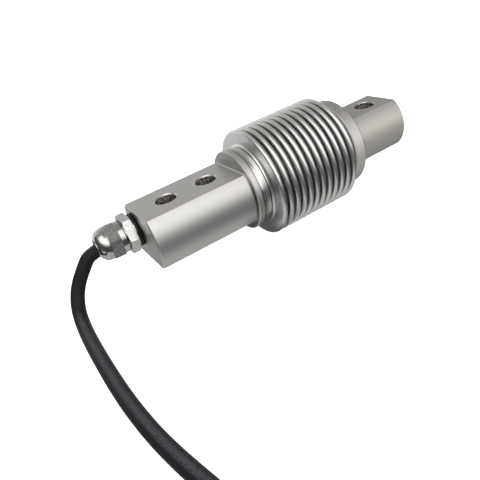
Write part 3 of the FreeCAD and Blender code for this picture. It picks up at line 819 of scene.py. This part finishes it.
def gauge_film():
    """Amber polyimide film with an etched foil grid: clear gloss over dull metal stripes."""
    material, tree, shader, coords = start_finish("amber_polyimide_film_with_foil_grid")
    spot = add(tree, "ShaderNodeSeparateXYZ", {"Vector": coords["Object"]}).outputs
    lengths = []
    for gauge in ("strain_gauge_upper_root", "strain_gauge_upper_tip"):
        low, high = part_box(gauge)
        lengths.append(in_band(tree, spot["X"], (low.x + high.x) / 2, GRID_L))
    grid = add(tree, "ShaderNodeMath", {
        0: any_of(tree, lengths), 1: in_band(tree, spot["Y"], 0, GRID_W),
    }, operation="MULTIPLY")
    # The foil's lines are about 0.05 mm wide and are drawn at 0.2 mm, so that they show
    turns = add(tree, "ShaderNodeMath", {0: spot["Y"], 1: per(0.4)}, operation="MULTIPLY")
    line = add(tree, "ShaderNodeMath", {0: turns.outputs[0], 1: 0.5}, operation="PINGPONG")
    stripe = add(tree, "ShaderNodeMath", {0: line.outputs[0], 1: 0.25}, operation="LESS_THAN")
    foil = add(tree, "ShaderNodeMath", {
        0: grid.outputs[0], 1: stripe.outputs[0],
    }, operation="MULTIPLY")
    tone = add(tree, "ShaderNodeMix", {
        "Factor": foil.outputs[0], "A": linear("#b5701c"), "B": linear("#8d8064"),
    }, data_type="RGBA")
    fill(tree, shader, {
        "Base Color": tone.outputs["Result"],
        "Metallic": foil.outputs[0],
        "Roughness": 0.22,
        "Coat Weight": 0.6,
    })
    return material


def circuit_board():
    """Glass-epoxy board under green lacquer: a faint weave, and tinned pads along its edge."""
    material, tree, shader, coords = start_finish("green_lacquered_glass_epoxy_board")
    place = coords["Object"]
    spot = add(tree, "ShaderNodeSeparateXYZ", {"Vector": place}).outputs
    weave = add(tree, "ShaderNodeTexChecker", {
        "Vector": place,
        "Scale": per(0.25),
        "Color1": linear("#0f5a2a"),
        "Color2": linear("#136632"),
    })
    # A pad every 2 mm, 1.2 mm wide
    rows = add(tree, "ShaderNodeMath", {0: spot["Z"], 1: per(2)}, operation="MULTIPLY")
    row = add(tree, "ShaderNodeMath", {0: rows.outputs[0], 1: 0.5}, operation="PINGPONG")
    pad_row = add(tree, "ShaderNodeMath", {0: row.outputs[0], 1: 0.3}, operation="LESS_THAN")
    edge = add(tree, "ShaderNodeMath", {
        0: spot["X"], 1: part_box("terminal_board")[0].x + PAD_L,
    }, operation="LESS_THAN")
    pad = add(tree, "ShaderNodeMath", {
        0: pad_row.outputs[0], 1: edge.outputs[0],
    }, operation="MULTIPLY")
    tone = add(tree, "ShaderNodeMix", {
        "Factor": pad.outputs[0], "A": weave.outputs[0], "B": linear("#b7b5ae"),
    }, data_type="RGBA")
    bump = add(tree, "ShaderNodeBump", {
        "Height": pad.outputs[0], "Strength": 0.5, "Distance": 0.05 * MM,
    })
    fill(tree, shader, {
        "Base Color": tone.outputs["Result"],
        "Metallic": pad.outputs[0],
        "Roughness": 0.35,
        "Normal": bump.outputs[0],
    })
    return material


def resistor_body():
    """Sintered chip resistor: a dull black face between two tinned ends."""
    material, tree, shader, coords = start_finish("black_chip_resistor")
    place = coords["Object"]
    low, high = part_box("balance_resistor")
    along = add(tree, "ShaderNodeSeparateXYZ", {"Vector": place}).outputs["X"]
    cap = add(tree, "ShaderNodeMath", {
        0: away_from(tree, along, (low.x + high.x) / 2), 1: CHIP_FACE_L / 2,
    }, operation="GREATER_THAN")
    # The grains are about 0.02 mm wide and are drawn at 0.15 mm, so that they show
    grains = add(tree, "ShaderNodeTexNoise", {"Vector": place, "Scale": per(0.15), "Detail": 2})
    face = add(tree, "ShaderNodeMix", {
        "Factor": grains.outputs[0], "A": linear("#141416"), "B": linear("#26262a"),
    }, data_type="RGBA")
    tone = add(tree, "ShaderNodeMix", {
        "Factor": cap.outputs[0], "A": face.outputs["Result"], "B": linear("#bdbbb5"),
    }, data_type="RGBA")
    fill(tree, shader, {
        "Base Color": tone.outputs["Result"],
        "Metallic": cap.outputs[0],
        "Roughness": 0.5,
    })
    return material


def tie_strap():
    """Moulded nylon strap: dull black, with teeth about a millimetre apart along its whole length."""
    material, tree, shader, coords = start_finish("black_toothed_nylon_strap")
    place = coords["Object"]
    flat = add(tree, "ShaderNodeVectorMath", {0: place, 1: (1, 1, 0)}, operation="MULTIPLY")
    radius = add(tree, "ShaderNodeVectorMath", {
        0: flat.outputs[0], 1: (COIL_CENTRE.x, COIL_CENTRE.y, 0),
    }, operation="DISTANCE")
    out = add(tree, "ShaderNodeMath", {
        0: radius.outputs["Value"], 1: COIL_MIDDLE_R,
    }, operation="SUBTRACT")
    height = add(tree, "ShaderNodeSeparateXYZ", {"Vector": place}).outputs["Z"]
    up = add(tree, "ShaderNodeMath", {0: height, 1: COIL_CENTRE.z}, operation="SUBTRACT")
    angle = add(tree, "ShaderNodeMath", {0: up.outputs[0], 1: out.outputs[0]}, operation="ARCTAN2")
    teeth = add(tree, "ShaderNodeMath", {0: angle.outputs[0], 1: STRAP_TEETH}, operation="MULTIPLY")
    tooth = add(tree, "ShaderNodeMath", {0: teeth.outputs[0]}, operation="SINE")
    shade = add(tree, "ShaderNodeMapRange", {"Value": tooth.outputs[0], "From Min": -1})
    tone = add(tree, "ShaderNodeMix", {
        "Factor": shade.outputs[0], "A": linear("#121213"), "B": linear("#232325"),
    }, data_type="RGBA")
    bump = add(tree, "ShaderNodeBump", {
        "Height": tooth.outputs[0], "Strength": 0.6, "Distance": 0.15 * MM,
    })
    fill(tree, shader, {
        "Base Color": tone.outputs["Result"],
        "Roughness": 0.48,
        "Normal": bump.outputs[0],
    })
    return material


def tinned_copper():
    """Fine copper strands, tinned and twisted: dull silver with a slanting rope-like lay."""
    material, tree, shader, coords = start_finish("tinned_copper_strands")
    # The strands are 0.1 mm thick and are drawn at 0.25 mm, so that they show
    strands = add(tree, "ShaderNodeTexWave", {
        "Vector": coords["Object"], "Scale": per(0.25) * math.pi / 10, "Distortion": 1.0,
    }, bands_direction="DIAGONAL")
    tone = add(tree, "ShaderNodeMix", {
        "Factor": strands.outputs[1], "A": linear("#8f8a80"), "B": linear("#c6c3bb"),
    }, data_type="RGBA")
    bump = add(tree, "ShaderNodeBump", {
        "Height": strands.outputs[1], "Strength": 0.6, "Distance": 0.06 * MM,
    })
    fill(tree, shader, {
        "Base Color": tone.outputs["Result"],
        "Metallic": 1.0,
        "Roughness": 0.34,
        "Normal": bump.outputs[0],
    })
    return material


# Studio

def sheet(name, corners, colour, glow):
    """A flat sheet at the table's height, from its corners in mm, which is no piece of the part."""
    mesh = bpy.data.meshes.new(name)
    mesh.from_pydata([(x * MM, y * MM, FLOOR_Z) for x, y in corners], [], [range(len(corners))])
    material = bpy.data.materials.new(name)
    material.use_nodes = True
    tree = material.node_tree
    fill(tree, tree.nodes["Principled BSDF"], {
        "Base Color": linear(colour),
        "Roughness": SHEET_ROUGHNESS,
        "Emission Color": linear(colour),
        "Emission Strength": glow,
    })
    mesh.materials.append(material)
    piece = link_to_scene(name, mesh)
    piece.visible_diffuse = False
    return piece


def lay_table():
    """A white table, and on it a painted shadow: a dark card that only metal mirrors, to darken
    undersides.
    """
    table = sheet("white_table", TABLE_CORNERS, "#ffffff", TABLE_GLOW)
    table.visible_glossy = False
    # Painted shadow: a grey sheet that glows and is seen only in reflections
    card = sheet("painted_shadow_card", CARD_CORNERS, "#505050", CARD_GLOW)
    card.visible_camera = False
    card.visible_shadow = False


def level_ramp(tree, height, levels):
    """The room's level at each height, from pairs of elevation and level."""
    ramp = add(tree, "ShaderNodeValToRGB", {"Fac": height})
    elements = ramp.color_ramp.elements
    for _ in levels[len(elements):]:
        elements.new(1)
    for element, (elevation, level) in zip(elements, levels):
        element.position = (1 + math.sin(math.radians(elevation))) / 2
        element.color = (level, level, level, 1)
    return ramp.outputs[0]


def light_room():
    """A soft room, dark at eye level, with a wide bright window in front and a paler wall behind."""
    world = bpy.data.worlds.new("studio")
    scene.world = world
    world.use_nodes = True
    tree = world.node_tree
    tree.nodes.clear()
    towards = add(tree, "ShaderNodeTexCoord").outputs["Generated"]
    rise = add(tree, "ShaderNodeVectorMath", {
        0: towards, 1: ROOM_UP.normalized(),
    }, operation="DOT_PRODUCT")
    height = add(tree, "ShaderNodeMapRange", {
        "Value": rise.outputs["Value"], "From Min": -1, "From Max": 1,
    })
    level_way = add(tree, "ShaderNodeVectorMath", {0: towards, 1: (1, 1, 0)}, operation="MULTIPLY")
    heading = add(tree, "ShaderNodeVectorMath", {0: level_way.outputs[0]}, operation="NORMALIZE")
    room = level_ramp(tree, height.outputs[0], ROOM_ROUND)
    for levels, sector in ((ROOM_WINDOW, WINDOW_SECTOR), (ROOM_BACK, BACK_SECTOR)):
        azimuth, outer, inner = [math.radians(angle) for angle in sector]
        ahead = add(tree, "ShaderNodeVectorMath", {
            0: heading.outputs[0], 1: (math.cos(azimuth), math.sin(azimuth), 0),
        }, operation="DOT_PRODUCT")
        inside = add(tree, "ShaderNodeMapRange", {
            "Value": ahead.outputs["Value"],
            "From Min": math.cos(outer),
            "From Max": math.cos(inner),
        }, interpolation_type="SMOOTHSTEP")
        room = add(tree, "ShaderNodeMix", {
            "Factor": inside.outputs[0],
            "A": room,
            "B": level_ramp(tree, height.outputs[0], levels),
        }, data_type="RGBA").outputs["Result"]
    soft = add(tree, "ShaderNodeBackground", {"Color": room, "Strength": 1.0})
    white = add(tree, "ShaderNodeBackground", {"Color": (1, 1, 1, 1), "Strength": WHITE_LEVEL})
    path = add(tree, "ShaderNodeLightPath")
    seen = add(tree, "ShaderNodeMixShader", {
        0: path.outputs["Is Camera Ray"], 1: soft.outputs[0], 2: white.outputs[0],
    })
    add(tree, "ShaderNodeOutputWorld", {"Surface": seen.outputs[0]})
    scene.view_settings.view_transform = "Standard"


def hang_key_box():
    """A soft box above the part, in front of it and to its left."""
    data = bpy.data.lights.new("key_box", "AREA")
    data.shape = "RECTANGLE"
    data.size, data.size_y = KEY_SIZE
    data.energy = KEY_WATTS
    light = link_to_scene("key_box", data)
    light.location = KEY_DIRECTION * KEY_DISTANCE
    light.rotation_euler = KEY_DIRECTION.to_track_quat("Z", "Y").to_euler()


place_camera()
finishes = {
    "blasted_stainless": blasted_stainless(),
    "polished_stainless": formed_stainless(),
    "nickel_plate": nickel_plate(),
    # Rubber, moulded: near black and dull, with a fine matt skin
    "black_rubber": moulded("moulded_black_rubber", "#0f0f0f", "#1c1b1a", 0.55, 0.2, 0.02),
    # Nylon, moulded: milky grey with a soft sheen
    "grey_nylon": moulded("moulded_grey_nylon", "#85888a", "#979a9b", 0.45, 0.2, 0.01),
    "gauge_film": gauge_film(),
    "circuit_board": circuit_board(),
    "resistor_body": resistor_body(),
    # PVC, extruded: clean colours with a smooth plastic gloss
    "red_insulation": moulded("extruded_red_pvc", "#97130f", "#ab1e18", 0.36, 0.15, 0.005),
    "green_insulation": moulded("extruded_green_pvc", "#155c2b", "#1f7036", 0.36, 0.15, 0.005),
    "black_insulation": moulded("extruded_black_pvc", "#121214", "#1d1d20", 0.36, 0.15, 0.005),
    "white_insulation": moulded("extruded_white_pvc", "#cfcec8", "#dddcd7", 0.36, 0.15, 0.005),
    # Silicone, poured: cloudy white with a wet-looking skin
    "potting": moulded("poured_white_silicone", "#c3c2bb", "#dbdad4", 0.3, 0.3, 0.03),
    "cable_sheath": matt_sheath(),
    "tie_strap": tie_strap(),
    "tinned_copper": tinned_copper(),
}
signal_cable(finishes["cable_sheath"])
formed_bellows(finishes["polished_stainless"])
for subpart in record["subparts"]:
    mesh = frame["nodes"][subpart["node"]].data
    mesh.materials.clear()
    mesh.materials.append(finishes[subpart["material_slot"]])
lay_table()
light_room()
hang_key_box()
